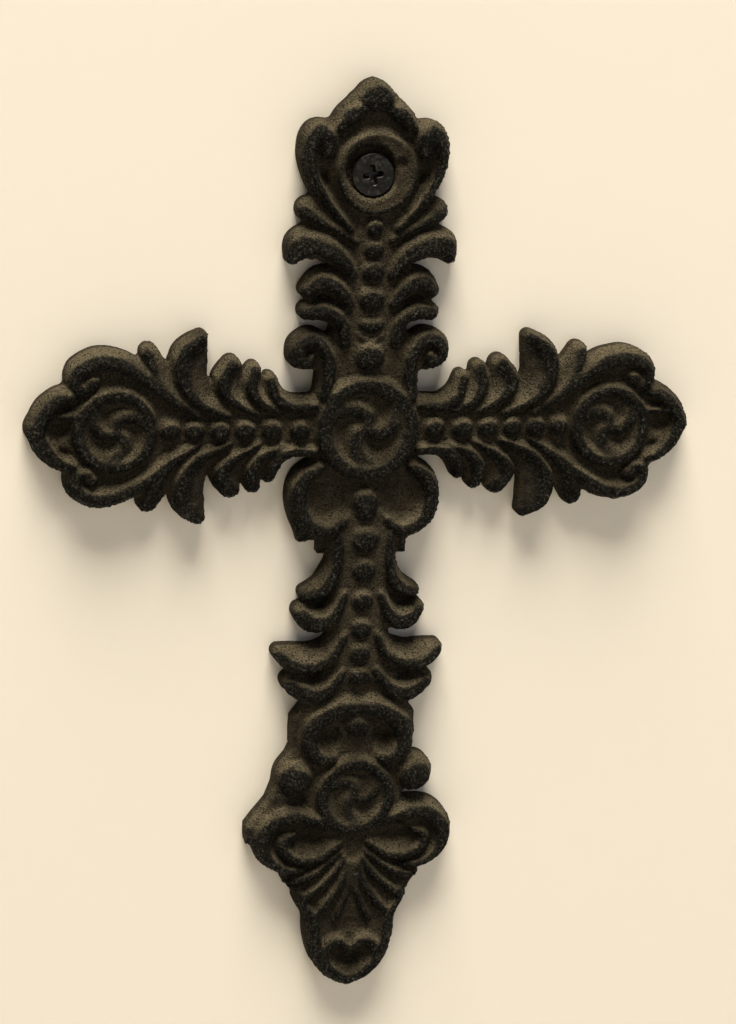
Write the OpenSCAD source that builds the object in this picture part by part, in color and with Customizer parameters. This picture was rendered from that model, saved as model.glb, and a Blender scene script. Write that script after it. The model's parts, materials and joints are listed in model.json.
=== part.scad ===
// Cast iron wall cross with scrolled leaves, and the screw that holds it up.
// Millimetres, +Z up. The front faces -Y, the back lies in y = 0.
// The origin is on the screw's axis, in the plane of the back.

/* [Casting] */
// Half the span from arm tip to arm tip
half_span = 66.2; // [55:0.1:80]
// Height of the top tip above the screw axis
top_rise = 17.7; // [14:0.1:24]
// Drop from the screw axis to the middle of the arms
arm_drop = 49.4; // [40:0.1:60]
// Drop from the screw axis to the bottom tip
foot_drop = 167.0; // [140:0.5:200]
// Thickness of the plate at the outline
plate_t = 4.6; // [3:0.1:6]
// Height of the tallest ridges above the back
ridge_t = 7.4; // [6:0.1:10]
// How far the plate stands out past each leaf
plate_edge = 0.5; // [0.2:0.1:1.5]
// Radius that fills the notches between leaves
fillet_r = 0.9; // [0.3:0.1:2]

/* [Medallions] */
// Outer radius of the ring at the crossing
hub_r = 10.3; // [8:0.1:13]
// Distance in from an arm tip to the middle of its medallion
end_in = 16.6; // [13:0.1:20]
// Outer radius of the rings on the arms
end_r = 8.5; // [7:0.1:10]
// Rise from the bottom tip to the middle of the foot medallion
foot_up = 42.0; // [36:0.5:50]
// Outer radius of the foot ring
foot_r = 8.2; // [6:0.1:10]
// Width of a ring, as a share of its radius
ring_share = 0.27; // [0.2:0.01:0.4]

/* [Beads] */
// Radius of an ordinary bead
bead_r = 2.1; // [1.2:0.1:3]
// Height of the bead tops above the back
bead_t = 7.2; // [6:0.1:9]
// Gap between the hub ring and the middle of the first arm bead
bead_gap = 3.3; // [2.5:0.1:5]
// Gap between the end ring and the middle of the last arm bead
bead_stop = 2.3; // [1.5:0.1:4]
// Number of beads along each arm
bead_count = 6; // [3:1:9]

/* [Boss and screw] */
// Radius of the boss round the screw hole
boss_r = 8.2; // [6:0.1:10]
// Height of the boss above the back
boss_t = 6.6; // [5:0.1:9]
// Diameter of the clearance hole
hole_d = 4.8; // [4:0.1:6]
// How far left of the middle of the boss the hole lies
hole_left = 0.6; // [0:0.1:1.5]
// How far below the middle of the boss the hole lies
hole_down = 0.4; // [0:0.1:1.5]
// Diameter of the screw head
head_d = 8.2; // [7:0.1:10]
// Depth of the head below the top of the boss
head_sunk = 0.9; // [0:0.1:2]
// Thickness of the screw head's straight lip
head_lip = 0.4; // [0.3:0.1:1]
// Gap between the screw head and its seat
seat_gap = 0.08; // [0.05:0.01:0.3]
// Outside diameter of the thread
thread_d = 4.2; // [3:0.1:5]
// Diameter of the plain neck between head and thread
neck_d = 3.5; // [2.6:0.1:4]
// Length of screw behind the back
shank_out = 20.0; // [12:0.5:40]
// Length of the point
point_len = 4.0; // [2:0.5:6]
// Span of the cross recess
recess_w = 4.4; // [3:0.1:6]
// Depth of the cross recess
recess_t = 1.6; // [0.8:0.1:3]

/* [Hidden] */
$fn = 40;
end_x = half_span - end_in;
foot_z = foot_drop - foot_up;
sunk = 0.7;                       // how deep a ridge is let into the plate
low = plate_t - sunk;
sink_r = head_d / 2 + head_sunk + head_lip + seat_gap;
cone_h = sink_r - hole_d / 2;     // 90 degree countersink
head_y = boss_t - head_sunk;
head_cone = (head_d - neck_d) / 2;

// ---- curves: a few chosen points, smoothed ----
function at(p, i) = p[min(max(i, 0), len(p) - 1)];
function knot(p, i, t) = let (a = at(p, i - 1), b = at(p, i), c = at(p, i + 1), d = at(p, i + 2))
    0.5 * (2 * b + (c - a) * t + (2 * a - 5 * b + 4 * c - d) * t * t
        + (3 * b - a - 3 * c + d) * t * t * t);
function curve(p, u) = let (s = u * (len(p) - 1), i = min(floor(s), len(p) - 2)) knot(p, i, s - i);
function side(p, u) = let (e = 0.02, d = curve(p, min(u + e, 1)) - curve(p, max(u - e, 0)))
    [-d[1], d[0]] / max(norm(d), 0.001);
function fit_z(z) = z > 0 ? z * top_rise / 17.7
    : z > -49.4 ? z * arm_drop / 49.4
    : -arm_drop + (z + 49.4) * (foot_drop - arm_drop) / 117.6;
function fit(p) = [for (q = p) [q[0] * half_span / 66.2, fit_z(q[1])]];
function flip(p) = [for (q = p) [q[0], -98.8 - q[1]]];

// ---- the ornament: [centre line, half widths, height, which side the crest leans] ----
// Drawn on a cross 132.4 wide and 184.7 tall; fit() carries it to the sizes above.
leaves_top = [
    [[[2.6, 12.2], [5.0, 10.6], [6.9, 8.4]], [1.5, 1.9, 1.6], 6.8, 0],
    [[[8.6, 3.6], [8.6, 7.0], [11.2, 7.6], [13.0, 3.6], [11.8, -1.6], [8.6, -6.2], [4.6, -10.4]],
        [1.2, 2.0, 1.9, 1.3, 1.2, 1.2, 0.8], 7.0, 0],
    [[[3.6, -12.6], [8.0, -9.8], [12.8, -7.0]], [0.9, 1.5, 1.9], 6.4, -0.4],
    [[[4.2, -18.6], [6.8, -15.4], [10.6, -13.4], [14.0, -13.8], [15.8, -16.6]],
        [1.3, 2.1, 2.7, 2.5, 0.8], 7.2, -0.4],
    [[[4.4, -24.4], [6.6, -21.8], [9.8, -20.8], [12.4, -22.8]], [1.2, 1.9, 2.1, 1.3], 6.8, -0.2],
    [[[5.0, -31.6], [5.4, -28.8], [7.4, -26.8], [10.0, -26.4], [12.4, -26.8]],
        [1.5, 1.6, 1.7, 1.8, 1.2], 6.8, -0.2],
    [[[8.4, -42.6], [8.0, -37.4], [9.0, -33.6], [11.8, -32.2], [14.0, -34.2], [12.8, -36.2]],
        [1.4, 1.6, 1.6, 1.8, 1.8, 1.7], 7.2, 0] ];
leaves_arm = [
    [[[10.8, -44.9], [15.0, -45.0], [18.0, -43.0], [19.2, -39.8]], [1.2, 1.5, 1.5, 0.9], 6.6, 0],
    [[[17.0, -45.7], [21.0, -44.0], [22.8, -41.0], [22.5, -38.2]], [0.9, 1.5, 1.6, 1.1], 6.6, 0],
    [[[21.4, -46.0], [26.0, -43.5], [28.0, -40.6], [26.9, -37.6]], [0.9, 1.7, 2.3, 1.5], 6.8, 0],
    [[[27.4, -46.2], [32.6, -43.4], [35.4, -39.2], [35.3, -35.2], [33.0, -31.9]],
        [0.9, 2.0, 3.0, 2.7, 0.9], 7.2, -0.5],
    [[[33.6, -45.5], [38.0, -42.2], [41.2, -38.4], [43.0, -34.9]], [0.8, 1.4, 1.9, 1.3], 6.6, -0.3],
    [[[33.4, -46.4], [38.6, -43.2], [43.6, -39.2], [48.6, -36.4], [53.4, -36.2], [56.8, -39.0],
        [55.4, -41.4], [53.4, -40.2]], [0.9, 1.6, 1.9, 2.0, 2.0, 1.8, 1.4, 1.0], 7.2, 0],
    [[[57.4, -42.6], [60.2, -43.4], [62.8, -45.8], [64.2, -49.2]], [1.3, 1.5, 1.6, 1.7], 6.8, 0] ];
leaves_stem = [
    [[[9.8, -57.6], [13.0, -60.0], [13.2, -64.4], [11.2, -68.4], [7.4, -69.8], [4.6, -68.2]],
        [1.5, 1.6, 1.6, 1.8, 1.6, 1.2], 7.0, 0],
    [[[5.4, -71.0], [5.6, -76.6], [7.4, -81.0], [11.2, -83.0]], [1.3, 1.4, 1.8, 0.9], 6.6, -0.4],
    [[[4.2, -83.2], [6.4, -87.2], [9.2, -88.2], [11.8, -86.8]], [1.0, 1.9, 2.4, 1.4], 7.0, -0.4],
    [[[3.8, -91.4], [6.2, -94.8], [9.8, -96.6], [13.2, -96.6], [16.2, -95.2]],
        [1.0, 1.8, 2.2, 2.1, 0.9], 7.2, -0.4],
    [[[3.8, -98.8], [6.4, -101.6], [9.8, -103.0], [13.8, -101.2]], [1.0, 1.7, 2.3, 1.5], 6.9, -0.4],
    [[[0, -106.0], [4.6, -106.6], [8.8, -109.6], [9.4, -113.6], [7.4, -116.6], [5.2, -115.6]],
        [2.7, 2.6, 2.3, 2.0, 1.8, 1.0], 7.2, 0],
    [[[7.4, -129.6], [12.0, -128.6], [16.4, -129.8], [18.6, -133.4], [17.6, -137.6], [13.8, -140.2]],
        [1.3, 1.5, 1.7, 1.7, 1.6, 1.1], 7.0, 0],
    [[[3.0, -135.2], [7.2, -137.8], [11.4, -138.0], [14.4, -136.0], [13.8, -133.4]],
        [0.8, 1.1, 1.3, 1.5, 1.1], 6.8, 0],
    [[[2.8, -137.0], [7.0, -140.2], [11.0, -142.0], [14.4, -142.2]], [0.8, 1.1, 1.3, 1.0], 6.4, 0],
    [[[1.8, -138.2], [5.4, -142.8], [9.8, -146.4]], [0.8, 1.2, 1.1], 6.4, 0],
    [[[0.8, -139.2], [3.2, -145.0], [7.0, -150.2]], [0.8, 1.2, 1.1], 6.4, 0],
    [[[10.2, -147.8], [7.6, -152.6], [7.2, -157.4], [4.2, -162.6], [0, -164.8]],
        [0.9, 1.4, 1.5, 1.6, 1.6], 6.8, 0],
    [[[4.9, -159.6], [4.2, -156.8], [1.8, -156.6], [0, -158.8]], [1.0, 1.4, 1.4, 1.0], 6.6, 0] ];
drawn_leaves = concat(leaves_top, leaves_arm, leaves_stem,
    [for (s = leaves_arm) [flip(s[0]), s[1], s[2], -s[3]]]);
half_leaves = [for (s = drawn_leaves) [fit(s[0]), s[1], s[2], s[3]]];

// ---- round things: [x, z, radius, height] ----
drawn_beads = [[0, -10.2, 1.7], [0, -14.4, 1.9], [0, -18.5, 2.2], [0, -24.0, 2.5], [0, -29.2, 2.0],
    [0, -35.2, 2.8], [0, -64.6, 3.0], [0, -71.5, 2.8], [0, -77.8, 2.4], [0, -84.2, 2.2],
    [0, -89.9, 2.1], [0, -94.8, 2.1], [0, -99.6, 2.1]];
stem_beads = [for (b = drawn_beads) [0, fit_z(b[1]), b[2]]];
bead_first = hub_r + bead_gap;
bead_last = end_x - end_r - bead_stop;
arm_beads = [for (i = [0:bead_count - 1])
    [bead_first + i * (bead_last - bead_first) / (bead_count - 1), -arm_drop, bead_r]];
rings = [[0, -arm_drop, hub_r], [0, -foot_z, foot_r], [end_x, -arm_drop, end_r],
    [-end_x, -arm_drop, end_r]];

module both() {
    children();
    mirror([1, 0, 0]) children();
}

// plan shape of one leaf, grown by g
module print(leaf, g, steps) {
    p = leaf[0];
    w = leaf[1];
    polygon([for (k = [0:2 * steps + 1])
        let (back = k > steps, i = back ? 2 * steps + 1 - k : k, u = i / steps, s = back ? -1 : 1)
        curve(p, u) + s * (curve(w, u) + g) * side(p, u)]);
    for (u = [0, 1]) translate(curve(p, u)) circle(r = curve(w, u) + g, $fn = 6);
}

// raised leaf: a flat-topped ridge that follows the centre line
module ridge(leaf, lift, fade) {
    p = leaf[0];
    w = leaf[1];
    top = leaf[2] * lift;
    lean = leaf[3];
    n = len(p);
    // small leaves come to one edge, large ones have a flat top
    section = leaf[2] < 6.7 ? [[-1, low], [lean, top], [1, low]]
        : [[-1, low], [lean - 0.34, top], [lean + 0.34, top], [1, low]];
    m = len(section);
    pts = [for (i = [0:n]) let (u = i / n, c = curve(p, u), s = side(p, u), h = curve(w, u),
        drop = fade * (1 - sin(180 * min(max(u, 0.03), 0.97))))
        for (q = section) let (v = c + s * h * q[0]) [v[0], -max(q[1] - drop, low), v[1]]];
    side_faces = [for (i = [0:n - 1], j = [0:m - 1])
        [m * i + j, m * i + (j + 1) % m, m * i + m + (j + 1) % m, m * i + m + j]];
    polyhedron(pts, concat([[for (j = [m - 1:-1:0]) j]], [[for (j = [0:m - 1]) m * n + j]],
        side_faces), convexity = 8);
}

module arm_strip(w) {
    translate([-end_x, -arm_drop - w]) square([2 * end_x, 2 * w]);
}

module blob(x, z, r, tall) {
    translate(fit([[x, z]])[0]) scale([1, tall]) circle(r = r);
}

module stem_shape() {
    polygon(fit([[-7.4, -70], [7.4, -70], [6.0, -77], [6.0, -92], [9, -104], [12.0, -108],
        [12.2, -116], [8, -140], [5.5, -152], [-5.5, -152], [-8, -140], [-12.2, -116],
        [-12.0, -108], [-9, -104], [-6.0, -92], [-6.0, -77]]));
    polygon(fit([[-9.0, 0], [9.0, 0], [5.6, -14], [6.0, -30], [8.6, -36], [9, -75], [-9, -75],
        [-8.6, -36], [-6.0, -30], [-5.6, -14]]));
}

module outline() {
    offset(r = -fillet_r, $fn = 6) offset(delta = fillet_r) union() {
        stem_shape();
        arm_strip(5.0);
        both() for (s = half_leaves) print(s, plate_edge, len(s[0]) + 1);
        for (r = rings) translate([r[0], r[1]]) circle(r = r[2] + plate_edge, $fn = 24);
        circle(r = boss_r + 1);
        // three lobes of the top, and the pointed arm tips
        polygon(fit([[-6.6, 11.6], [0, 17.7], [4.6, 14.4], [7.0, 11.0], [4, 4], [-4, 4]]));
        blob(0, 14.5, 3.2, 1);
        both() polygon(fit([[52, -40.4], [57.6, -41.1], [59.6, -42.2], [61.4, -43.4], [63.2, -45.0],
            [64.9, -47.0], [66.0, -49.4], [64.9, -51.8], [63.2, -53.8], [61.4, -55.4],
            [59.6, -56.6], [57.6, -57.7], [52, -58.4]]));
        // flat ground between the leaves
        both() blob(8.0, 4.5, 5.0, 1);
        both() blob(50.0, -49.4, 11.0, 1.18);
        both() blob(6.4, -31.2, 1.4, 1);
        both() blob(11.2, -34.4, 3.8, 1);
        // bulbs beside the foot ring, heart, scrolls, and toe
        both() blob(12.4, -121.2, 4.3, 1);
        both() blob(8.0, -64.0, 7.2, 1);
        both() blob(12.6, -134.0, 7.0, 1);
        both() polygon(fit([[-1, -144.4], [13.2, -144.4], [11.4, -147.0], [9.3, -150.2], [8.6, -153.0],
            [8.8, -156.5], [8.0, -159.6], [6.0, -162.2], [3.4, -164.2], [-1, -165.9]]));
        blob(0, -163.6, 3.4, 1);
        // the web left of the foot ring, and the sharp corner of the heart
        polygon(fit([[-11, -106], [-13.4, -109], [-13.4, -115], [-15.5, -119.5], [-18, -126],
            [-22.2, -131.4], [-22.0, -135], [-18, -136], [-11, -122]]));
        polygon(fit([[-14.6, -66], [-14.2, -68.6], [-12.8, -72.8], [-11.3, -72.5], [-8, -71],
            [-9, -66]]));
    }
}

module ring_solid(r) {
    band = r * ring_share;
    rotate_extrude($fn = 20) polygon([[r - band, low - 0.3], [r - 0.75 * band, ridge_t],
        [r - 0.25 * band, ridge_t], [r, low - 0.3]]);
}

module bead_solid(r, top) {
    rotate_extrude($fn = 8) polygon([[0, low - 0.5], [r, low - 0.5], [r * 0.92, plate_t + 0.9],
        [r * 0.45, top], [0, top]]);
}

module lying(x, z) {
    translate([x, 0, z]) rotate([90, 0, 0]) children();
}

module swirl(x, z, r, turn) {
    for (a = [turn, turn + 120, turn + 240]) {
        line = [for (k = [0:3]) let (q = r * (0.8 - 0.29 * k), t = a - 9 * k)
            [x + q * cos(t), z + q * sin(t)]];
        ridge([line, [0.12 * r, 0.15 * r, 0.15 * r, 0.1 * r], ridge_t - 0.7, 0], 1, 0);
    }
}

module leaves_relief() {
    both() for (s = half_leaves) ridge(s, ridge_t / 7.2, 0.5);
    swirl(0, -arm_drop, hub_r, 20);
    swirl(0, -foot_z, foot_r, 20);
    both() swirl(end_x, -arm_drop, end_r, 64);
}

module round_relief() {
    for (r = rings) lying(r[0], r[1]) ring_solid(r[2]);
    for (b = stem_beads) lying(b[0], b[1]) bead_solid(b[2], bead_t);
    both() for (b = arm_beads) lying(b[0], b[1]) bead_solid(b[2], bead_t);
    lying(0, top_rise - 3.6) bead_solid(2.8, bead_t);
    both() lying(12.2 * half_span / 66.2, fit_z(-121.2)) bead_solid(3.5, bead_t - 0.2);
    translate([0, -low + 0.6, 0]) rotate([90, 0, 0])
        cylinder(r1 = boss_r, r2 = boss_r - 0.5, h = boss_t - low + 0.6, $fn = 20);
}

module hole() {
    rotate([90, 0, 0]) translate([0, 0, -1]) cylinder(d = hole_d, h = ridge_t + 4);
    translate([0, -boss_t + cone_h, 0]) rotate([90, 0, 0])
        cylinder(r1 = hole_d / 2, r2 = sink_r + 2, h = cone_h + 2);
}

module cross() color([0.10, 0.09, 0.08]) difference() {
    // plate and relief are one body, brought to the full span and depth
    translate([hole_left, 0, hole_down]) resize([2 * half_span, ridge_t, 0]) {
        rotate([90, 0, 0]) linear_extrude(height = plate_t) outline();
        leaves_relief();
        round_relief();
    }
    hole();
}

module screw() color([0.16, 0.16, 0.17]) difference() {
    rotate([90, 0, 0]) rotate_extrude() polygon([[0, -shank_out], [thread_d / 2, -shank_out + point_len],
        [thread_d / 2, 0], [neck_d / 2, 0],
        [neck_d / 2, head_y - head_lip - head_cone], [head_d / 2, head_y - head_lip],
        [head_d / 2, head_y - 0.15], [head_d / 2 - 0.3, head_y], [0, head_y]]);
    for (a = [45, 135]) translate([0, -head_y, 0]) rotate([0, a, 0])
        cube([recess_w, 2 * recess_t, 0.9], center = true);
}

cross();
screw();
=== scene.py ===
"""Ornamental cast iron wall cross, its screw, and the studio it is shown in.

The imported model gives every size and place. The casting is a height field, worked
out from the strokes of the ornament and closed with a wall and a flat back. The
screw is turned, and its thread follows a helix in Geometry Nodes.
"""
from __future__ import annotations

import json
import logging
import math
from dataclasses import dataclass, field
from enum import Enum
from typing import Iterable, Sequence

import bpy
import numpy as np
from mathutils import Matrix, Vector, geometry

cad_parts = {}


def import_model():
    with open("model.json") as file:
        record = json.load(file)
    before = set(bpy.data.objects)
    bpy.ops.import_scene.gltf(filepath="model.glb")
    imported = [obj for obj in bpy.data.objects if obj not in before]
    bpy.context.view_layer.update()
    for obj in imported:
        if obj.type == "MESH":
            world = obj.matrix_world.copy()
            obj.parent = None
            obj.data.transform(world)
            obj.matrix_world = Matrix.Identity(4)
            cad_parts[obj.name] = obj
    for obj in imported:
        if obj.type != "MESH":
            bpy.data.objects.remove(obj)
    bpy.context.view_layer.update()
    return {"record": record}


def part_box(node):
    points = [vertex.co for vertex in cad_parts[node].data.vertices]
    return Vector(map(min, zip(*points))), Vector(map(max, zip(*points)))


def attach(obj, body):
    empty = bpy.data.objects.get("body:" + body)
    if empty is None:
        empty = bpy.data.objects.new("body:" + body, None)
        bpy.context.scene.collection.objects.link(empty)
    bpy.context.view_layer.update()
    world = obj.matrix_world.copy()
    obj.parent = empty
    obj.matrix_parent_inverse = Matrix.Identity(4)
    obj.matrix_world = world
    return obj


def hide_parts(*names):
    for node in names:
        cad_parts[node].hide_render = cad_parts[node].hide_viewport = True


LOG = logging.getLogger("wall_cross")
MM = 0.001
Point = tuple[float, float]
Array = np.ndarray


# ---------------------------------------------------------------- colour and nodes

def linear(hex_colour: str) -> tuple[float, float, float, float]:
    """Turn an sRGB hex colour into the linear value that Blender works in.

    Args:
        hex_colour: six hex digits, with or without a leading hash.

    Returns:
        Linear red, green, blue and an alpha of one.
    """
    digits = hex_colour.lstrip("#")
    parts = [int(digits[i:i + 2], 16) / 255 for i in (0, 2, 4)]
    r, g, b = (c / 12.92 if c <= 0.04045 else ((c + 0.055) / 1.055) ** 2.4 for c in parts)
    return (r, g, b, 1.0)


def add_node(tree: bpy.types.NodeTree, kind: str, settings: dict | None = None,
             inputs: dict | None = None) -> bpy.types.Node:
    """Add one node, set its properties, and fill or link its inputs.

    Args:
        tree: the tree that gets the node.
        kind: Blender's type name of the node.
        settings: properties of the node by name.
        inputs: values or output sockets, by input name or index.

    Returns:
        The new node.
    """
    node = tree.nodes.new(kind)
    for name, value in (settings or {}).items():
        setattr(node, name, value)
    for key, value in (inputs or {}).items():
        socket = node.inputs[key]
        if isinstance(value, bpy.types.NodeSocket):
            tree.links.new(value, socket)
        else:
            socket.default_value = value
    return node


def ramp(tree: bpy.types.NodeTree, fac: bpy.types.NodeSocket,
         low: float, high: float) -> bpy.types.NodeSocket:
    """Map a value smoothly from 0 at low to 1 at high."""
    node = add_node(tree, "ShaderNodeMapRange", {"interpolation_type": "SMOOTHSTEP"},
                    {"Value": fac, "From Min": low, "From Max": high})
    return node.outputs["Result"]


def blend(tree: bpy.types.NodeTree, fac: bpy.types.NodeSocket | float,
          first: object, second: object) -> bpy.types.NodeSocket:
    """Mix two colours, each a socket or a linear colour."""
    node = add_node(tree, "ShaderNodeMix", {"data_type": "RGBA"},
                    {0: fac, 6: first, 7: second})
    return node.outputs[2]


def arith(tree: bpy.types.NodeTree, op: str, first: object,
          second: object = 0.0) -> bpy.types.NodeSocket:
    """Do one sum on two values, each a socket or a number."""
    node = add_node(tree, "ShaderNodeMath", {"operation": op}, {0: first, 1: second})
    return node.outputs[0]


def noise(tree: bpy.types.NodeTree, where: bpy.types.NodeSocket, size_mm: float,
          detail: float = 3.0, rough: float = 0.55) -> bpy.types.NodeSocket:
    """Give a noise value whose lumps are about size_mm across."""
    node = add_node(tree, "ShaderNodeTexNoise", None,
                    {"Vector": where, "Scale": 1.0 / (size_mm * MM), "Detail": detail,
                     "Roughness": rough})
    return node.outputs["Fac"]


# ---------------------------------------------------------------- finishes

@dataclass(frozen=True)
class CastIronFinish:
    """Sand-cast iron, brushed black, with the paint thin and brown in the ground.

    The mould's sand leaves a grain that breaks highlights into specks. Worn high
    places are black and a little glossy; hollows are a matt dark brown. Light and
    shade from above are painted in as well: faces that turn down get more black as
    painted shade, and slopes that face up a lighter brown as painted light.
    """

    name: str = "Black painted sand-cast iron"
    high: str = "#080807"
    grit: str = "#1a1915"
    mid: str = "#27231c"
    ground: str = "#353027"
    # Lighter brown of slopes that face up: partly the casting's own tone, partly painted light
    # from above.
    dust_and_top_light: str = "#524c3e"
    high_rough: float = 0.38
    ground_rough: float = 0.85
    dull: float = 0.04
    shine: float = 0.26
    # Moulding sand is about 0.2 mm across; it is drawn coarser, so that it shows.
    grain_mm: float = 0.34
    lump_mm: float = 1.3
    stain_mm: float = 9.0
    bump_mm: float = 1.1

    def build(self) -> bpy.types.Material:
        """Make the material.

        Returns:
            A material that reads the casting's cavity and shelf attributes.
        """
        mat = bpy.data.materials.new(self.name)
        mat.use_nodes = True
        tree = mat.node_tree
        bsdf = tree.nodes["Principled BSDF"]
        where = add_node(tree, "ShaderNodeTexCoord").outputs["Object"]
        cavity = add_node(tree, "ShaderNodeAttribute", {"attribute_name": "cavity"}).outputs["Fac"]
        shelf = add_node(tree, "ShaderNodeAttribute", {"attribute_name": "shelf"}).outputs["Fac"]
        grain = noise(tree, where, self.grain_mm, 2.0, 0.6)
        coarse = noise(tree, where, 1.7 * self.grain_mm, 2.0, 0.6)
        lumps = noise(tree, where, self.lump_mm, 3.0, 0.6)
        stains = noise(tree, where, self.stain_mm, 4.0, 0.6)
        wobble = arith(tree, "MULTIPLY", arith(tree, "SUBTRACT", lumps, 0.5), 1.1)
        speck = arith(tree, "MULTIPLY", arith(tree, "SUBTRACT", coarse, 0.5), 1.6)
        # Painted shade: faces that turn down get more of the black skin, as shade under the light
        # from above; on worn high places the black is the real paint.
        facing = arith(tree, "MAXIMUM", arith(tree, "MINIMUM", shelf, 1.0), -0.7)
        rubbed_and_shaded = arith(tree, "SUBTRACT", cavity, facing)
        raised = arith(tree, "ADD", arith(tree, "ADD", rubbed_and_shaded, wobble), speck)
        black = ramp(tree, raised, -0.35, 0.45)
        # Painted light: slopes that face up are blended from the ground's brown to a lighter
        # brown, the light from above painted in.
        brown = blend(tree, ramp(tree, shelf, 0.1, 1.0), linear(self.ground), linear(self.dust_and_top_light))
        floor = blend(tree, ramp(tree, stains, 0.35, 0.75), brown, linear(self.mid))
        skin = blend(tree, ramp(tree, coarse, 0.48, 0.64), linear(self.high), linear(self.grit))
        colour = blend(tree, black, floor, skin)
        pits = ramp(tree, grain, 0.36, 0.5)
        colour = blend(tree, pits, linear(self.grit), colour)
        tree.links.new(colour, bsdf.inputs["Base Color"])
        both = arith(tree, "MULTIPLY", arith(tree, "ADD", grain, coarse), 0.5)
        glint = arith(tree, "MULTIPLY", ramp(tree, both, 0.5, 0.62),
                      arith(tree, "ADD", arith(tree, "MULTIPLY", black, 0.75), 0.25))
        rough = add_node(tree, "ShaderNodeMapRange", None,
                         {"Value": glint, "To Min": self.ground_rough, "To Max": self.high_rough})
        tree.links.new(rough.outputs["Result"], bsdf.inputs["Roughness"])
        gloss = add_node(tree, "ShaderNodeMapRange", None,
                         {"Value": glint, "To Min": self.dull, "To Max": self.shine})
        tree.links.new(gloss.outputs["Result"], bsdf.inputs["Specular IOR Level"])
        height = arith(tree, "ADD", arith(tree, "MULTIPLY", grain, 0.5),
                       arith(tree, "ADD", arith(tree, "MULTIPLY", coarse, 0.7),
                             arith(tree, "MULTIPLY", lumps, 0.5)))
        bump = add_node(tree, "ShaderNodeBump", None,
                        {"Strength": 1.0, "Distance": self.bump_mm * MM, "Height": height})
        tree.links.new(bump.outputs["Normal"], bsdf.inputs["Normal"])
        return mat


@dataclass(frozen=True)
class BlackOxideFinish:
    """Steel with a black oxide skin: dark, nearly even, with soft bright edges."""

    name: str = "Black oxide steel"
    colour: str = "#131312"
    worn: str = "#3a3935"
    roughness: float = 0.36
    metallic: float = 0.75
    # Handling marks are finer than this; they are drawn wide enough to show.
    mark_mm: float = 0.6
    mark_deep: float = 0.12

    def build(self) -> bpy.types.Material:
        """Make the material.

        Returns:
            A metal with faint wear and a fine grain.
        """
        mat = bpy.data.materials.new(self.name)
        mat.use_nodes = True
        tree = mat.node_tree
        bsdf = tree.nodes["Principled BSDF"]
        where = add_node(tree, "ShaderNodeTexCoord").outputs["Object"]
        marks = noise(tree, where, self.mark_mm, 4.0, 0.7)
        colour = blend(tree, ramp(tree, marks, 0.46, 0.7), linear(self.colour), linear(self.worn))
        tree.links.new(colour, bsdf.inputs["Base Color"])
        bsdf.inputs["Metallic"].default_value = self.metallic
        bsdf.inputs["Roughness"].default_value = self.roughness
        bump = add_node(tree, "ShaderNodeBump", None,
                        {"Strength": 0.8, "Distance": self.mark_deep * MM, "Height": marks})
        tree.links.new(bump.outputs["Normal"], bsdf.inputs["Normal"])
        return mat


@dataclass(frozen=True)
class BackdropFinish:
    """Plain pale board that only shows its front, so a view from behind sees past it.

    It casts no shadow itself, so the rear lamp reaches the back that lies on it.
    """

    name: str = "Pale backdrop"
    colour: str = "#c6c3bd"

    def build(self) -> bpy.types.Material:
        """Make the material.

        Returns:
            A matt material that is clear from its back and to shadows.
        """
        mat = bpy.data.materials.new(self.name)
        mat.use_nodes = True
        tree = mat.node_tree
        bsdf = tree.nodes["Principled BSDF"]
        bsdf.inputs["Base Color"].default_value = linear(self.colour)
        bsdf.inputs["Roughness"].default_value = 0.9
        behind = add_node(tree, "ShaderNodeNewGeometry").outputs["Backfacing"]
        shadow = add_node(tree, "ShaderNodeLightPath").outputs["Is Shadow Ray"]
        side = arith(tree, "MAXIMUM", behind, shadow)
        clear = add_node(tree, "ShaderNodeBsdfTransparent").outputs[0]
        mix = add_node(tree, "ShaderNodeMixShader", None, {0: side, 1: bsdf.outputs[0], 2: clear})
        tree.links.new(mix.outputs[0], tree.nodes["Material Output"].inputs["Surface"])
        return mat


# ---------------------------------------------------------------- curves and fields

def spline(points: Sequence[Sequence[float]], u: Array) -> Array:
    """Run a smooth curve through a few points.

    Args:
        points: the points, or single numbers in one-item lists.
        u: where to read it, 0 at the first point and 1 at the last.

    Returns:
        One row for each u.
    """
    p = np.asarray(points, dtype=float)
    if p.ndim == 1:
        p = p[:, None]
    s = np.clip(u, 0, 1) * (len(p) - 1)
    i = np.minimum(s.astype(int), len(p) - 2)
    t = (s - i)[:, None]
    a, b = p[np.maximum(i - 1, 0)], p[i]
    c, d = p[i + 1], p[np.minimum(i + 2, len(p) - 1)]
    return 0.5 * (2 * b + (c - a) * t + (2 * a - 5 * b + 4 * c - d) * t ** 2
                  + (3 * b - a - 3 * c + d) * t ** 3)


def smooth_step(x: Array | float, low: float, high: float) -> Array:
    """Rise smoothly from 0 at low to 1 at high."""
    t = np.clip((np.asarray(x) - low) / (high - low), 0, 1)
    return t * t * (3 - 2 * t)


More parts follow.
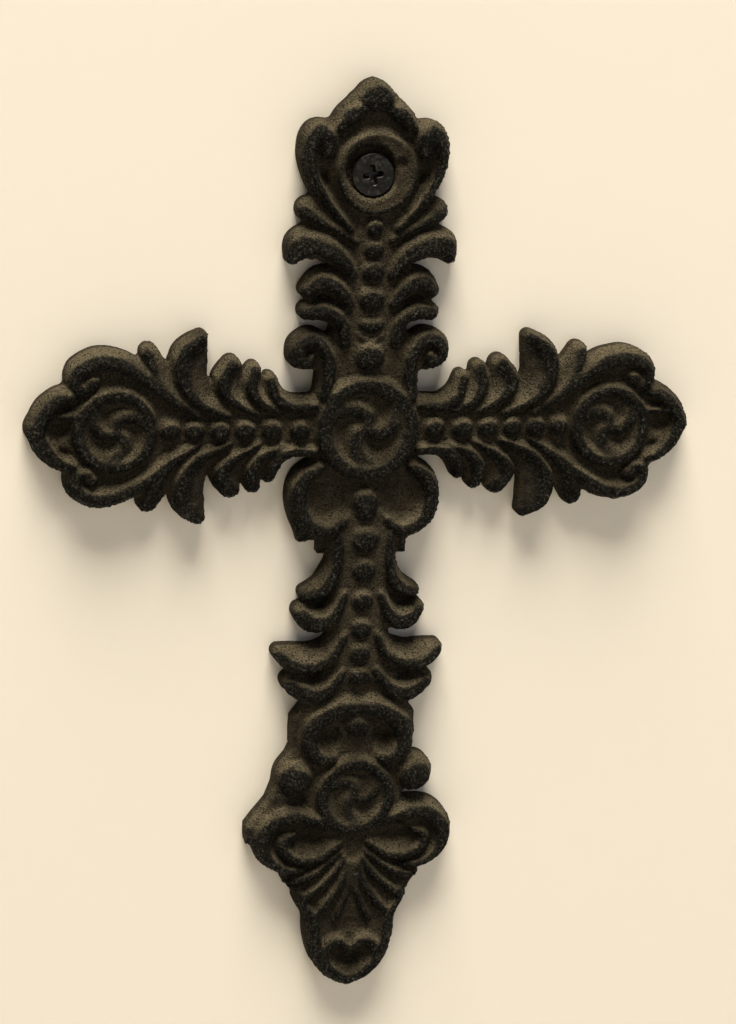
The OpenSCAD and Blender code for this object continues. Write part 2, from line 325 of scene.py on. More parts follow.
def value_noise(x: Array, z: Array, size: float, seed: int) -> Array:
    """Give smooth noise between -1 and 1 with lumps of the given size.

    Args:
        x: across, in millimetres.
        z: up, in millimetres.
        size: distance between the noise's knots.
        seed: picks the pattern.

    Returns:
        The noise at each place.
    """
    knots = np.random.default_rng(seed).uniform(-1, 1, (256, 256))
    gx, gz = x / size + 97.3, z / size + 143.7
    ix, iz = np.floor(gx).astype(int), np.floor(gz).astype(int)
    fx, fz = gx - ix, gz - iz
    fx, fz = fx * fx * (3 - 2 * fx), fz * fz * (3 - 2 * fz)

    def knot(across: Array, up: Array) -> Array:
        """Read the knots, which repeat past their last row."""
        return knots[across % 256, up % 256]

    low = knot(ix, iz) * (1 - fx) + knot(ix + 1, iz) * fx
    high = knot(ix, iz + 1) * (1 - fx) + knot(ix + 1, iz + 1) * fx
    return low * (1 - fz) + high * fz


class Crest(Enum):
    """How a leaf is carved across its width."""

    ROUND = "round"
    SCOOPED = "scooped"


@dataclass(frozen=True)
class Leaf:
    """One carved stroke of the ornament, in millimetres on the drawing.

    path runs from root to tip, widths are half widths along it, top is its crest
    above the back, and lean puts the crest left (+) or right (-) of the path.
    """

    path: tuple[Point, ...]
    widths: tuple[float, ...]
    top: float
    lean: float = 0.0
    crest: Crest = Crest.ROUND

    def flipped(self, axis_z: float) -> "Leaf":
        """Mirror the leaf in the level line at axis_z."""
        path = tuple((x, 2 * axis_z - z) for x, z in self.path)
        return Leaf(path, self.widths, self.top, -self.lean, self.crest)

    def window(self, x: Array, z: Array) -> tuple[Array, ...]:
        """Pick the places near enough for the leaf to matter."""
        px, pz = np.array(self.path).T
        reach = max(self.widths) + 3.5
        return np.nonzero((x > px.min() - reach) & (x < px.max() + reach)
                          & (z > pz.min() - reach) & (z < pz.max() + reach))

    def measure(self, x: Array, z: Array, steps: int = 40) -> tuple[Array, Array, Array]:
        """Find where each place lies against the leaf.

        Args:
            x: across, on the drawing.
            z: up, on the drawing.
            steps: pieces that the path is cut into.

        Returns:
            The side distance in half widths, the distance to the leaf's edge, and how
            far along the path the place is.
        """
        u = np.linspace(0, 1, steps + 1)
        p, w = spline(self.path, u), spline(self.widths, u)[:, 0]
        best = np.full(x.shape, 1e9)
        q = np.full(x.shape, 9.0)
        gap = np.full(x.shape, 1e9)
        along = np.zeros(x.shape)
        for i in range(steps):
            ax, az = p[i]
            dx, dz = p[i + 1] - p[i]
            size = max(dx * dx + dz * dz, 1e-12)
            t = np.clip(((x - ax) * dx + (z - az) * dz) / size, 0, 1)
            ox, oz = x - ax - t * dx, z - az - t * dz
            dist = np.hypot(ox, oz)
            half = w[i] + t * (w[i + 1] - w[i])
            near = dist / half < best
            side = np.where(dx * oz - dz * ox >= 0, 1.0, -1.0)
            best = np.where(near, dist / half, best)
            q = np.where(near, side * dist / half, q)
            gap = np.where(dist - half < gap, dist - half, gap)
            along = np.where(near, (i + t) / steps, along)
        return q, gap, along

    def height(self, q: Array, along: Array, ground: float) -> Array:
        """Give the carved height across and along the leaf.

        Args:
            q: side distance in half widths.
            along: place along the path.
            ground: height of the plate.

        Returns:
            Height above the back.
        """
        c = 0.8 * self.lean
        a = np.clip(np.where(q < c, (1 + q) / (1 + c), (1 - q) / (1 - c)), 0, 1)
        rise = np.sin(0.5 * math.pi * a) ** 0.85
        if self.crest is Crest.SCOOPED:
            wide = (q > c) if self.lean < 0 else (q < c)
            rise = np.where(wide, 0.25 * rise + 0.75 * a ** 2.2, rise)
        rise = np.tanh(1.25 * rise) / math.tanh(1.25)
        fade = 0.72 + 0.28 * np.sin(math.pi * np.clip(along, 0.04, 0.96)) ** 0.6
        return ground + (self.top * fade + ground * (1 - fade) - ground) * rise


def leaf(path: Iterable[Point], widths: Iterable[float], top: float, lean: float = 0.0,
         crest: Crest = Crest.ROUND) -> Leaf:
    """Write one leaf in short form."""
    return Leaf(tuple(path), tuple(widths), top, lean, crest)


def top_leaves() -> list[Leaf]:
    """List the right-hand leaves of the top terminal and upper stem."""
    scoop = Crest.SCOOPED
    return [
        leaf([(2.9, 11.9), (5.0, 10.6), (6.8, 8.6)], [1.5, 1.9, 1.6], 7.2),
        leaf([(9.5, 3.8), (9.5, 6.0), (10.9, 7.4), (12.4, 6.0), (12.9, 2.4), (11.6, -2.0),
              (8.6, -6.4), (4.6, -10.6)], [1.7, 2.4, 2.2, 1.8, 1.4, 1.2, 1.1, 0.8], 7.4),
        leaf([(3.6, -12.6), (8.0, -9.9), (12.6, -7.2)], [0.9, 1.5, 2.0], 6.9, -0.6, scoop),
        leaf([(4.0, -19.0), (6.6, -15.6), (10.4, -13.5), (13.8, -13.7), (15.6, -16.4)],
             [1.3, 2.1, 2.8, 2.6, 0.9], 7.5, -0.5),
        leaf([(4.2, -24.8), (6.4, -21.9), (9.6, -20.7), (12.2, -22.6)], [1.2, 1.9, 2.1, 1.3],
             7.2, -0.3),
        leaf([(4.9, -32.2), (5.4, -28.9), (7.4, -26.9), (10.0, -26.4), (12.4, -26.8)],
             [1.5, 1.6, 1.7, 1.7, 1.2], 7.2, -0.2),
        leaf([(8.6, -43.0), (8.0, -38.0), (8.7, -34.2), (11.2, -32.0), (13.8, -33.2),
              (14.0, -35.6), (12.2, -36.2), (11.8, -34.9)],
             [1.4, 1.6, 1.6, 1.6, 1.6, 1.5, 1.3, 1.0], 7.5),
    ]


def arm_leaves() -> list[Leaf]:
    """List the leaves of the upper half of the right arm."""
    scoop = Crest.SCOOPED
    return [
        leaf([(10.6, -44.9), (15.0, -45.1), (18.0, -43.2), (19.2, -39.8)], [1.2, 1.4, 1.5, 0.9],
             6.9),
        leaf([(17.0, -45.9), (21.0, -44.0), (22.8, -41.0), (22.5, -38.0)], [0.9, 1.5, 1.6, 1.1],
             6.9, -0.3),
        leaf([(21.4, -46.2), (26.0, -43.5), (28.0, -40.6), (26.9, -37.4)], [0.9, 1.7, 2.4, 1.6],
             7.1, -0.5, scoop),
        leaf([(27.4, -46.2), (32.6, -43.4), (35.2, -39.4), (35.2, -35.4), (33.0, -31.8)],
             [0.9, 2.0, 3.1, 2.9, 0.9], 7.5, -0.72, scoop),
        leaf([(33.6, -45.4), (38.0, -42.2), (41.2, -38.4), (43.0, -34.8)], [0.8, 1.3, 1.9, 1.4],
             6.8, -0.5, scoop),
        leaf([(33.4, -46.6), (38.6, -43.4), (43.6, -39.5), (48.6, -36.7), (53.2, -36.2),
              (56.6, -38.0), (57.0, -40.6), (54.8, -41.4), (53.8, -39.8)],
             [0.8, 1.4, 1.7, 1.8, 1.9, 1.7, 1.5, 1.2, 0.9], 7.5, -0.1),
        leaf([(57.4, -42.6), (60.2, -43.4), (62.8, -45.8), (64.3, -49.4)],
             [1.3, 1.5, 1.6, 1.7], 7.1),
        leaf([(57.4, -46.3), (59.8, -46.7), (62.6, -46.6)], [0.9, 0.8, 0.9], 6.3),
    ]


def stem_leaves() -> list[Leaf]:
    """List the right-hand leaves from the heart down to the bottom tip."""
    return [
        leaf([(9.4, -57.4), (12.6, -59.8), (13.3, -64.2), (11.4, -68.4), (7.6, -69.9),
              (4.8, -68.0)], [1.4, 1.6, 1.7, 1.8, 1.7, 1.2], 7.3),
        leaf([(5.3, -70.6), (5.5, -76.6), (7.4, -81.2), (11.0, -83.0)], [1.1, 1.2, 1.7, 0.9],
             7.0, -0.4),
        leaf([(4.0, -83.0), (6.2, -87.2), (9.1, -88.3), (11.6, -86.8)], [1.0, 1.9, 2.5, 1.5],
             7.3, -0.5),
        leaf([(3.6, -91.2), (6.0, -94.8), (9.6, -96.5), (13.0, -96.4), (16.0, -95.2)],
             [1.0, 1.8, 2.3, 2.3, 1.0], 7.5, -0.6, Crest.SCOOPED),
        leaf([(3.6, -98.6), (6.2, -101.7), (9.7, -103.1), (13.5, -101.4)], [1.0, 1.7, 2.4, 1.6],
             7.2, -0.5),
        leaf([(0, -106.3), (4.6, -106.6), (8.6, -109.4), (9.6, -113.4), (8.0, -116.6),
              (5.2, -117.0)], [2.7, 2.6, 2.3, 2.0, 1.9, 1.4], 7.4, 0.15),
        leaf([(6.8, -130.4), (11.4, -128.9), (15.9, -129.6), (18.5, -133.0), (17.9, -137.2),
              (14.4, -140.0), (10.4, -140.2)], [1.2, 1.6, 1.9, 1.9, 1.6, 1.2, 0.8], 7.3),
        leaf([(3.0, -135.2), (7.2, -137.9), (11.4, -138.0), (14.4, -136.2), (14.5, -133.6),
              (12.4, -132.9)], [0.8, 1.1, 1.3, 1.5, 1.4, 0.9], 7.1),
        leaf([(2.6, -137.0), (7.0, -140.5), (10.6, -142.3), (13.2, -142.8)],
             [0.8, 1.0, 1.1, 0.7], 6.7),
        leaf([(1.8, -138.2), (5.4, -142.9), (9.8, -146.6)], [0.8, 1.2, 1.2], 6.7),
        leaf([(0.8, -139.2), (3.2, -145.2), (7.2, -150.4)], [0.9, 1.2, 1.1], 6.7),
        leaf([(10.4, -147.6), (8.0, -151.4), (7.4, -155.6), (6.0, -160.0), (3.0, -163.4),
              (0, -164.9)], [0.9, 1.3, 1.5, 1.6, 1.7, 1.6], 7.0),
        leaf([(4.9, -159.8), (4.4, -157.0), (2.3, -156.4), (0.2, -158.6)],
             [1.0, 1.4, 1.4, 1.0], 6.8),
        leaf([(0.3, -139.6), (1.0, -146.0), (3.6, -152.0)], [0.6, 0.9, 0.8], 6.3),
    ]


@dataclass
class Ornament:
    """The drawing of the whole relief, in millimetres from the boss's middle.

    It is drawn for the right half; the left is its mirror, apart from the odd
    places that the casting has on one side only.
    """

    arm_z: float = -49.4
    top_z: float = 17.7
    foot_z: float = -167.0
    span: float = 132.4
    plate: float = 4.3
    boss: float = 6.9
    hub: tuple[float, float, float] = (0.0, -49.4, 10.4)
    end: tuple[float, float, float] = (49.6, -49.4, 8.4)
    foot: tuple[float, float, float] = (0.0, -125.0, 8.2)
    stem_beads: tuple[tuple[float, float], ...] = (
        (-10.2, 1.7), (-14.4, 2.0), (-18.5, 2.3), (-24.0, 2.6), (-35.2, 2.9),
        (-71.5, 2.9), (-77.8, 2.5), (-84.2, 2.3), (-89.9, 2.2), (-94.8, 2.2), (-99.6, 2.1))
    arm_beads: tuple[float, ...] = (13.6, 19.1, 24.3, 29.3, 34.1, 38.8)
    leaves: list[Leaf] = field(default_factory=list)

    def __post_init__(self) -> None:
        """Gather the leaves of the right half."""
        arm = arm_leaves()
        self.leaves = (top_leaves() + arm + stem_leaves()
                       + [item.flipped(self.arm_z) for item in arm[:-1]])

    def pinwheels(self) -> list[tuple[tuple[float, float, float], list[Leaf], float]]:
        """Draw the three curved arms inside each ring.

        Returns:
            For each ring its circle, its arms and the depth of the bowls between them.
        """
        bend = ((1.0, 40), (0.76, 16), (0.50, -12), (0.24, -44), (0.0, -44))
        out = []
        for ring, base, deep in ((self.hub, 20, 2.3), (self.end, 28, 1.9), (self.foot, 24, 1.5)):
            x, z, r = ring
            arms = []
            for start in (base, base + 120, base + 240):
                turns = [(share * r, math.radians(start + turn)) for share, turn in bend]
                path = [(x + d * math.cos(a), z + d * math.sin(a)) for d, a in turns]
                arms.append(leaf(path, [r * w for w in (0.17, 0.12, 0.085, 0.07, 0.05)], 1.0))
            out.append((ring, arms, deep))
        return out

    def fills(self) -> list[tuple[float, float, float, float]]:
        """List the round ground between leaves: x, z, radius and height share."""
        return [(0, 0, 9.2, 1), (8.0, 4.5, 5.0, 1), (0, 14.5, 3.1, 1), (50.0, -49.4, 11.0, 1.18),
                (60.0, -49.4, 5.4, 1.2), (6.4, -31.2, 1.4, 1),
                (11.2, -34.4, 3.8, 1), (0, -49.4, 10.9, 1), (8.0, -64.0, 7.2, 1),
                (12.4, -121.2, 4.1, 1), (12.6, -134.0, 7.0, 1), (0, -163.4, 3.4, 1),
                (0, -125, 8.8, 1)]

    def grounds(self) -> list[list[Point]]:
        """List the plain shapes of the stem, neck, arms and top.

        Returns:
            Their corners, on the folded drawing.
        """
        stem = [(7.0, -70), (5.8, -77), (6.0, -92), (9, -104), (12.0, -108), (12.0, -116),
                (8, -140), (5.5, -152)]
        neck = [(9.0, 0), (5.6, -14), (6.0, -30), (8.6, -36), (9, -75)]
        tip = [(4, 4), (7.0, 11.0), (4.4, 14.6), (0, 17.7)]
        toe = [(13.2, -144.4), (11.4, -147.0), (9.3, -150.2), (8.6, -153.0), (8.8, -156.5),
               (8.0, -159.6), (6.0, -162.2), (3.4, -164.2), (0, -165.9)]
        shapes = [s + [(-x, z) for x, z in reversed(s)] for s in (stem, neck, tip, toe)]
        arm = [(0, -44.6), (50, -44.6), (50, -54.2), (0, -54.2)]
        end = [(52, 9.0), (57.6, 8.3), (59.6, 7.2), (61.4, 6.0), (63.2, 4.4), (64.9, 2.4),
               (65.5, 0)]
        end = [(x, self.arm_z + z) for x, z in end + [(x, -z) for x, z in reversed(end)]]
        return shapes + [arm, end]

    def web(self) -> list[list[Point]]:
        """List what the left side alone has: the foundry's web and a sharp corner."""
        return [[(-11, -106), (-13.4, -109), (-13.4, -115), (-15.5, -119.5), (-18, -126),
                 (-22.2, -131.4), (-22.0, -135), (-18, -136), (-11, -122)],
                [(-14.6, -66), (-14.2, -68.6), (-12.8, -72.8), (-11.3, -72.5), (-8, -71),
                 (-9, -66)]]

    def dips(self) -> list[tuple[float, float, float, float, float]]:
        """List hollows in the ground: x, z, two radii and depth."""
        return [(7.4, -63.4, 4.6, 6.6, 1.6), (5.9, -113.4, 3.3, 3.0, 1.9),
                (0, -109.0, 5.4, 1.9, 1.0), (9.0, -134.2, 5.2, 2.6, 1.5),
                (0.4, -160.4, 3.0, 2.8, 1.3), (0, -153.4, 5.0, 1.6, 0.3),
                (55.6, -38.4, 1.5, 1.0, 1.6), (55.6, -60.4, 1.5, 1.0, 1.6),
                (60.4, -49.4, 2.6, 3.0, 1.3), (59.2, -44.7, 1.9, 1.3, 0.9),
                (59.2, -54.1, 1.9, 1.3, 0.9)]


def polygon_gap(shape: Sequence[Point], x: Array, z: Array) -> Array:
    """Give the signed distance to a polygon.

    Args:
        shape: its corners in order.
        x: across, in millimetres.
        z: up, in millimetres.

    Returns:
        The distance at each place, below zero inside.
    """
    gap = np.full(x.shape, 1e9)
    inside = np.zeros(x.shape, dtype=bool)
    for (ax, az), (bx, bz) in zip(shape, list(shape[1:]) + [shape[0]]):
        dx, dz = bx - ax, bz - az
        t = np.clip(((x - ax) * dx + (z - az) * dz) / max(dx * dx + dz * dz, 1e-9), 0, 1)
        gap = np.minimum(gap, np.hypot(x - ax - t * dx, z - az - t * dz))
        cross = (az > z) != (bz > z)
        at = ax + (z - az) * dx / (dz if abs(dz) > 1e-9 else 1e-9)
        inside ^= cross & (x < at)
    return np.where(inside, -gap, gap)


def soft_min(a: Array, b: Array, k: float) -> Array:
    """Take the smaller of two fields with a fillet of about k."""
    h = np.clip(0.5 + 0.5 * (b - a) / k, 0, 1)
    return b * (1 - h) + a * h - k * h * (1 - h)


def blurred(values: Array, passes: int) -> Array:
    """Smooth a grid with a small tent filter.

    Args:
        values: the grid.
        passes: how many times the filter runs over it.

    Returns:
        The smoothed grid.
    """
    out = values.copy()
    for _ in range(passes):
        for axis in (0, 1):
            pad = np.concatenate([np.take(out, [0], axis), out, np.take(out, [-1], axis)], axis)
            n = out.shape[axis]
            low, high = np.take(pad, range(n), axis), np.take(pad, range(2, n + 2), axis)
            out = 0.25 * low + 0.5 * out + 0.25 * high
    return out


@dataclass
class Relief:
    """Works out the casting's outline and height over a grid.

    wander bends the whole drawing a little and sand dimples the surface: each entry
    has a rise, a size and its seeds. bowl, from the hole's middle, and pit, from the
    boss's, have a place, a radius and a depth.
    """

    ornament: Ornament
    hole: Point
    hole_r: float
    seat_r: float
    seat_top: float
    edge: float = 0.5
    notch: float = 1.0
    shoulder: float = 1.5
    wall: float = 2.7
    soften: float = 0.2
    base: float = 4.0
    bowl: tuple[float, float, float, float] = (-0.6, 1.1, 5.0, 2.3)
    pit: tuple[float, float, float, float] = (4.9, 2.0, 1.5, 0.9)
    seat_slope: float = 12.0
    wander: tuple[tuple[float, float, int, int], ...] = ((0.22, 9.0, 11, 13), (0.07, 2.2, 12, 14))
    sand: tuple[tuple[float, float, int], ...] = ((0.10, 1.3, 21), (0.06, 0.7, 22))

    def outline(self, x: Array, z: Array, gaps: list[tuple[tuple, Array]]) -> Array:
        """Join the leaves and grounds into one outline.

        Args:
            x: across, not mirrored.
            z: up.
            gaps: for each leaf its window and its distance field there.

        Returns:
            Distance to the outline, below zero inside.
        """
        fold = np.abs(x)
        gap = np.full(x.shape, 30.0)
        for shape in self.ornament.grounds():
            gap = soft_min(gap, polygon_gap(shape, fold, z), self.notch)
        for cx, cz, r, tall in self.ornament.fills():
            gap = soft_min(gap, (np.hypot(fold - cx, (z - cz) / tall) - r), self.notch)
        for window, own in gaps:
            gap[window] = soft_min(gap[window], own - self.edge, self.notch)
        for shape in self.ornament.web():
            gap = soft_min(gap, polygon_gap(shape, x, z), self.notch)
        return gap

    def ground(self, x: Array, z: Array) -> Array:
        """Give the plate's height with its raised bands and hollows.

        Args:
            x: across, folded to the right half.
            z: up.

        Returns:
            Height above the back.
        """
        o = self.ornament
        level = np.full(x.shape, o.plate)
        level += 0.35 * smooth_step(3.0 - np.abs(z - o.arm_z), 0, 1.2) * smooth_step(42 - x, 0, 2)
        stem = (smooth_step(4.9 - x, 0, 0.9) * smooth_step(-65.5 - z, 0, 1.5)
                * smooth_step(z + 102.5, 0, 2))
        neck = (smooth_step(4.6 - x, 0, 2.0) * smooth_step(-9.5 - z, 0, 2)
                * smooth_step(z + 40, 0, 2))
        level += 0.95 * stem + 0.6 * neck
        for cx, cz, rx, rz, deep in o.dips():
            level -= deep * smooth_step(1 - np.hypot((x - cx) / rx, (z - cz) / rz), 0, 0.6)
        return level

    def rounds(self, x: Array, z: Array, ground: Array) -> list[Array]:
        """Give the heights of beads, bulbs, rings and boss.

        Args:
            x: across, folded to the right half.
            z: up.
            ground: height of the plate.

        Returns:
            One height field for each, zero where it is absent.
        """
        o = self.ornament
        out = []
        beads = [(0.0, bz, r, 7.4, 1.0) for bz, r in o.stem_beads]
        beads += [(bx, o.arm_z, 2.15, 7.4, 1.0) for bx in o.arm_beads]
        beads += [(0.0, 13.9, 2.9, 7.5, 1.25), (12.3, -121.2, 3.6, 7.3, 1.0),
                  (0.0, -64.6, 3.5, 7.5, 0.76), (0.0, -110.0, 2.6, 6.9, 0.95)]
        beads += [(54.2, o.arm_z + side, 1.75, 7.2, 1.0) for side in (9.6, -9.6)]
        for cx, cz, r, top, wide in beads:
            d = np.hypot((x - cx) / wide, z - cz) / r
            dome = np.sqrt(np.clip(1 - d ** 2.3, 0, 1))
            out.append(np.where(d < 1, ground + (top - ground) * dome, 0.0))
        for (cx, cz, r), top in ((o.hub, 7.1), (o.end, 6.9), (o.foot, 6.7)):
            half = 0.145 * r
            away = np.hypot(x - cx, z - cz)
            d = np.abs(away - (r - half)) / half
            dome = np.sqrt(np.clip(1 - d ** 6, 0, 1))
            out.append(np.where(d < 1, ground + (top - ground) * dome, 0.0))
            out.append(ground + (top - 0.6 - ground) * smooth_step(r - half - away, 0, 0.6))
        d = np.hypot(x, z)
        disc = o.boss - 0.25 + 0.35 * np.exp(-((d - 7.4) / 0.5) ** 2)
        out.append(ground + (disc - ground) * smooth_step(8.2 - d, 0, 0.5))
        return out

    def scars(self) -> list[Leaf]:
        """List what the pattern has on one side only: the flat, split bead of the neck."""
        return [leaf([(-1.3, -28.8), (0.2, -29.3), (1.6, -28.7)], [1.2, 1.7, 1.2], 6.6),
                leaf([(-2.9, -30.6), (-1.0, -31.9), (0.4, -32.3), (2.6, -30.9)],
                     [0.35, 0.55, 0.6, 0.35], 6.1)]

    def solve(self, xs: Array, zs: Array) -> tuple[Array, Array, Array, Array]:
        """Work out the fields over a grid.

        Args:
            xs: the grid's places across.
            zs: the grid's places up.

        Returns:
            Distance to the outline, height, how far the surface faces up, and cavity.
        """
        x, z = np.meshgrid(xs, zs, indexing="ij")
        wx, wz = x, z
        for rise, size, seed_x, seed_z in self.wander:
            wx = wx + rise * value_noise(x, z, size, seed_x)
            wz = wz + rise * value_noise(x, z, size, seed_z)
        fold = np.abs(wx)
        ground = self.ground(fold, wz)
        o = self.ornament
        total = np.exp((ground - self.base) / self.soften)
        gaps = []
        strokes = [(item, True) for item in o.leaves] + [(item, False) for item in self.scars()]
        for item, mirrored in strokes:
            across = fold if mirrored else wx
            window = item.window(across, wz)
            q, gap, along = item.measure(across[window], wz[window])
            rise = item.height(q, along, 0.0) / item.top
            level = ground[window] + (item.top - ground[window]) * rise
            lift = np.exp((level - self.base) / self.soften)
            total[window] += np.where(np.abs(q) < 1, lift, 0.0)
            if mirrored:
                gaps.append((window, gap))
        for level in self.rounds(fold, wz, ground):
            total += np.where(level > 0, np.exp((level - self.base) / self.soften), 0.0)
        height = self.base + self.soften * np.log(total)
        for (cx, cz, r), arms, deep in o.pinwheels():
            across = fold if cx > 0 else wx
            window = np.nonzero(np.hypot(across - cx, wz - cz) < 0.8 * r)
            px, pz = across[window], wz[window]
            room = 0.73 * r - np.hypot(px - cx, pz - cz)
            for arm in arms:
                room = np.minimum(room, arm.measure(px, pz)[1])
            height[window] -= deep * smooth_step(room, -0.1, 0.24 * r) ** 0.75
        gap = self.outline(wx, wz, gaps)
        height = blurred(height, 1)
        inset = np.clip(-gap / self.shoulder, 0, 1)
        roll = np.sqrt(1 - (1 - inset) ** 2)
        height = self.wall + (height - self.wall) * roll
        height += sum(rise * value_noise(x, z, size, seed) for rise, size, seed in self.sand)
        cavity = height - blurred(height, 80)
        cavity -= 0.75 * smooth_step(8.7 - np.hypot(x, z), 0, 0.9)
        away = np.hypot(x - self.hole[0], z - self.hole[1])
        height = self.sunk(height, x, z, away)
        gap = np.maximum(self.sealed(gap), self.hole_r - away)
        # How far the surface faces up; the material paints up-facing slopes lighter and
        # down-facing ones darker by it, as painted light and shade from above.
        shelf = -np.gradient(blurred(height, 4), zs, axis=1)
        return gap, height, shelf, cavity

    def sunk(self, height: Array, x: Array, z: Array, away: Array) -> Array:
        """Sink the boss's bowl, the small pit beside it and the screw's seat.

        Args:
            height: height above the back.
            x: across, not mirrored.
            z: up.
            away: distance from the hole's middle.

        Returns:
            The height with all three cut in.
        """
        hx, hz = self.hole
        across, up, r, deep = self.bowl
        height -= deep * smooth_step(r - np.hypot(x - hx - across, z - hz - up), 0, 0.3)
        across, up, r, deep = self.pit
        height -= deep * smooth_step(r - np.hypot(x - across, z - up), 0, 0.9)
        seat = np.maximum(self.seat_top - self.seat_slope * (self.seat_r - away), away + 0.3)
        return np.where(away < self.seat_r + 0.2, np.minimum(height, seat), height)

    @staticmethod
    def sealed(gap: Array) -> Array:
        """Fill pockets of outside that lie shut in between the leaves.

        Args:
            gap: distance to the outline.

        Returns:
            The same, with the pockets inside.
        """
        free = gap > 0
        sea = np.zeros(gap.shape, dtype=bool)
        sea[0, :] = sea[-1, :] = sea[:, 0] = sea[:, -1] = True
        size = 0
        while sea.sum() != size:
            size = sea.sum()
            for _ in range(12):
                sea[1:] |= sea[:-1]
                sea[:-1] |= sea[1:]
                sea[:, 1:] |= sea[:, :-1]
                sea[:, :-1] |= sea[:, 1:]
                sea &= free
        return np.where(free & ~sea, -1.0, gap)


# ---------------------------------------------------------------- meshes

def make_object(name: str, verts: Array, faces: list[tuple[int, ...]]) -> bpy.types.Object:
    """Make a smooth-shaded object.

    Args:
        name: its name.
        verts: its points, in millimetres.
        faces: its faces, as point numbers.

    Returns:
        The object, linked to the scene.
    """
    mesh = bpy.data.meshes.new(name)
    mesh.from_pydata((np.asarray(verts) * MM).tolist(), [], faces)
    mesh.validate()
    mesh.shade_smooth()
    obj = bpy.data.objects.new(name, mesh)
    bpy.context.scene.collection.objects.link(obj)
    return obj


def bake(obj: bpy.types.Object, tree: bpy.types.NodeTree,
         values: dict[str, object]) -> bpy.types.Object:
    """Run a Geometry Nodes tree on an object and keep only its result.

    Args:
        obj: the object that goes in.
        tree: the tree.
        values: its named inputs.

    Returns:
        A new object that holds the result; the old one is removed.
    """
    modifier = obj.modifiers.new("Nodes", "NODES")
    modifier.node_group = tree
    for item in tree.interface.items_tree:
        if item.item_type == "SOCKET" and item.in_out == "INPUT" and item.name in values:
            modifier[item.identifier] = values[item.name]
    bpy.context.view_layer.update()
    shot = obj.evaluated_get(bpy.context.evaluated_depsgraph_get())
    mesh = bpy.data.meshes.new_from_object(shot)
    name = obj.name
    obj.modifiers.remove(modifier)
    old = obj.data
    bpy.data.objects.remove(obj)
    bpy.data.meshes.remove(old)
    mesh.name = name
    out = bpy.data.objects.new(name, mesh)
    bpy.context.scene.collection.objects.link(out)
    return out


def new_tree(name: str, inputs: Sequence[tuple[str, str, object]]) -> bpy.types.NodeTree:
    """Start a Geometry Nodes tree with a geometry input, named inputs and an output.

    Args:
        name: the tree's name.
        inputs: name, socket type and default of each input.

    Returns:
        The tree, still empty.
    """
    tree = bpy.data.node_groups.new(name, "GeometryNodeTree")
    tree.interface.new_socket("Geometry", in_out="INPUT", socket_type="NodeSocketGeometry")
    tree.interface.new_socket("Geometry", in_out="OUTPUT", socket_type="NodeSocketGeometry")
    for label, kind, default in inputs:
        socket = tree.interface.new_socket(label, in_out="INPUT", socket_type=kind)
        if kind != "NodeSocketMaterial":
            socket.default_value = default
    return tree


@dataclass
class Skin:
    """Geometry Nodes that roughen a casting as moulding sand does.

    The grain is drawn about twice as coarse as the sand's, so that the mesh can hold it.
    """

    lump: float = 1.15 * MM
    lump_rise: float = 0.24 * MM
    grain: float = 0.42 * MM
    grain_rise: float = 0.18 * MM
    seed: float = 7.0

    def tree(self) -> bpy.types.NodeTree:
        """Build the tree that pushes each point along its normal by two noises.

        Returns:
            The tree, which also sets the material.
        """
        tree = new_tree("Sand skin", [
            ("Lump size", "NodeSocketFloat", self.lump), ("Lump rise", "NodeSocketFloat", 0.0),
            ("Grain size", "NodeSocketFloat", self.grain), ("Grain rise", "NodeSocketFloat", 0.0),
            ("Seed", "NodeSocketFloat", 0.0), ("Material", "NodeSocketMaterial", None)])
        source = add_node(tree, "NodeGroupInput")
        where = add_node(tree, "GeometryNodeInputPosition").outputs[0]
        mask = add_node(tree, "GeometryNodeInputNamedAttribute", {"data_type": "FLOAT"},
                        {"Name": "rough"}).outputs["Attribute"]
        total: object = 0.0
        for label in ("Lump", "Grain"):
            scale = arith(tree, "DIVIDE", 1.0, source.outputs[f"{label} size"])
            lumps = add_node(tree, "ShaderNodeTexNoise", {"noise_dimensions": "4D"},
                              {"Vector": where, "W": source.outputs["Seed"], "Scale": scale,
                               "Detail": 2.0}).outputs[0]
            push = arith(tree, "MULTIPLY", arith(tree, "SUBTRACT", lumps, 0.5),
                         arith(tree, "MULTIPLY", source.outputs[f"{label} rise"], 2.0))
            total = arith(tree, "ADD", total, push)
        normal = add_node(tree, "GeometryNodeInputNormal").outputs[0]
        shift = add_node(tree, "ShaderNodeVectorMath", {"operation": "SCALE"},
                         {0: normal, "Scale": arith(tree, "MULTIPLY", total, mask)})
        moved = add_node(tree, "GeometryNodeSetPosition", None,
                         {"Geometry": source.outputs["Geometry"], "Offset": shift.outputs[0]})
        real = add_node(tree, "GeometryNodeRealizeInstances", None, {0: moved.outputs[0]})
        dressed = add_node(tree, "GeometryNodeSetMaterial", None,
                           {"Geometry": real.outputs[0], "Material": source.outputs["Material"]})
        add_node(tree, "NodeGroupOutput", None, {0: dressed.outputs[0]})
        return tree

    def apply(self, obj: bpy.types.Object, material: bpy.types.Material) -> bpy.types.Object:
        """Roughen an object and dress it.

        Args:
            obj: a mesh with a "rough" attribute that says where the skin may move.
            material: what the result wears.

        Returns:
            The roughened object.
        """
        return bake(obj, self.tree(), {
            "Lump size": self.lump, "Lump rise": self.lump_rise, "Grain size": self.grain,
            "Grain rise": self.grain_rise, "Seed": self.seed, "Material": material})


